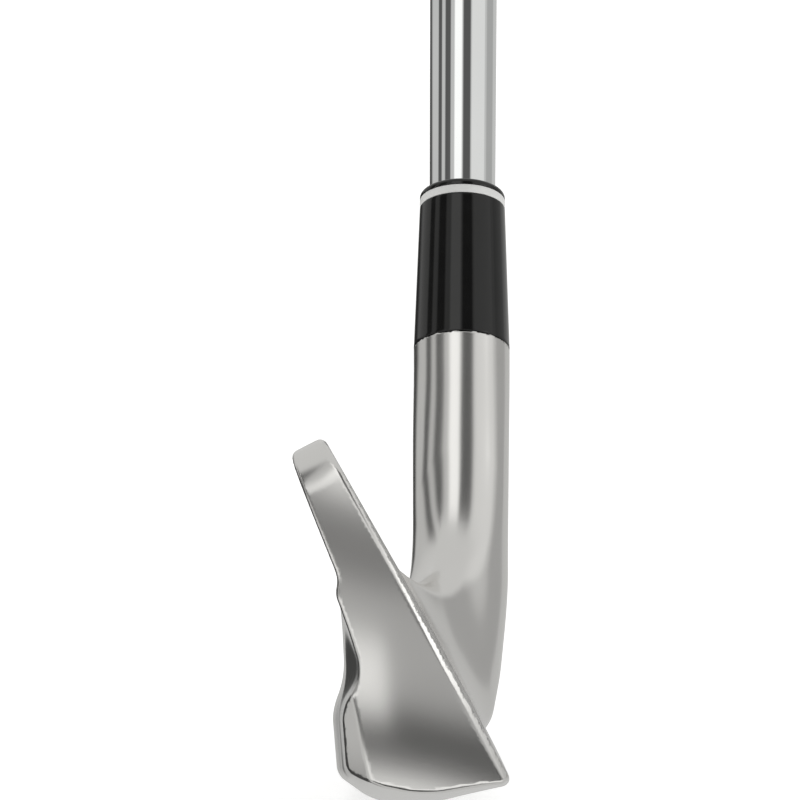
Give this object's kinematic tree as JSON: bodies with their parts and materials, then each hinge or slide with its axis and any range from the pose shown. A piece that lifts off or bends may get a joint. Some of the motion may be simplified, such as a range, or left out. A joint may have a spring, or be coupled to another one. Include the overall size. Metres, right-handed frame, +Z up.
{
  "type": "iron golf club",
  "caption": "Right-handed iron golf club: forged cavity-back steel head with a V-shaped sole, black ferrule, stepped steel shaft and rubber grip.",
  "frame": {"origin": "lowest point of the sole, where the head rests on the ground at address", "axes": "+X towards the target, +Y from toe to heel, +Z up; the shaft rises towards +Y and +Z at 62 degrees to the ground"},
  "size_m": [0.041, 0.5309, 0.8356],
  "materials": {
    "satin_steel": "satin nickel-chrome plating over forged steel",
    "face_steel": "fine blasted steel with milled grooves",
    "dense_metal": "sintered tungsten alloy, as pressed",
    "pad_rubber": "matt elastomer",
    "badge_aluminium": "dark satin anodised",
    "mark_paint": "black paint fill",
    "adhesive": "cured epoxy",
    "tip_brass": "turned brass",
    "ferrule_black": "polished black",
    "ring_white": "polished off-white",
    "shaft_chrome": "mirror chrome",
    "band_film": "plain printed film",
    "tape_paper": "double-sided tape",
    "grip_rubber": "matt textured rubber",
    "cap_rubber": "smooth moulded rubber"
  },
  "bodies": {
    "root": {"head_body": "satin_steel", "face_plate": "face_steel", "toe_weight": "dense_metal", "damping_pad": "pad_rubber", "cavity_badge": "badge_aluminium", "sole_number_paint": "mark_paint", "hosel_adhesive": "adhesive", "tip_weight": "tip_brass", "ferrule": "ferrule_black", "ferrule_ring": "ring_white", "shaft": "shaft_chrome", "shaft_band": "band_film", "grip_tape": "tape_paper", "grip": "grip_rubber", "grip_cap": "cap_rubber"}
  },
  "joints": []
}
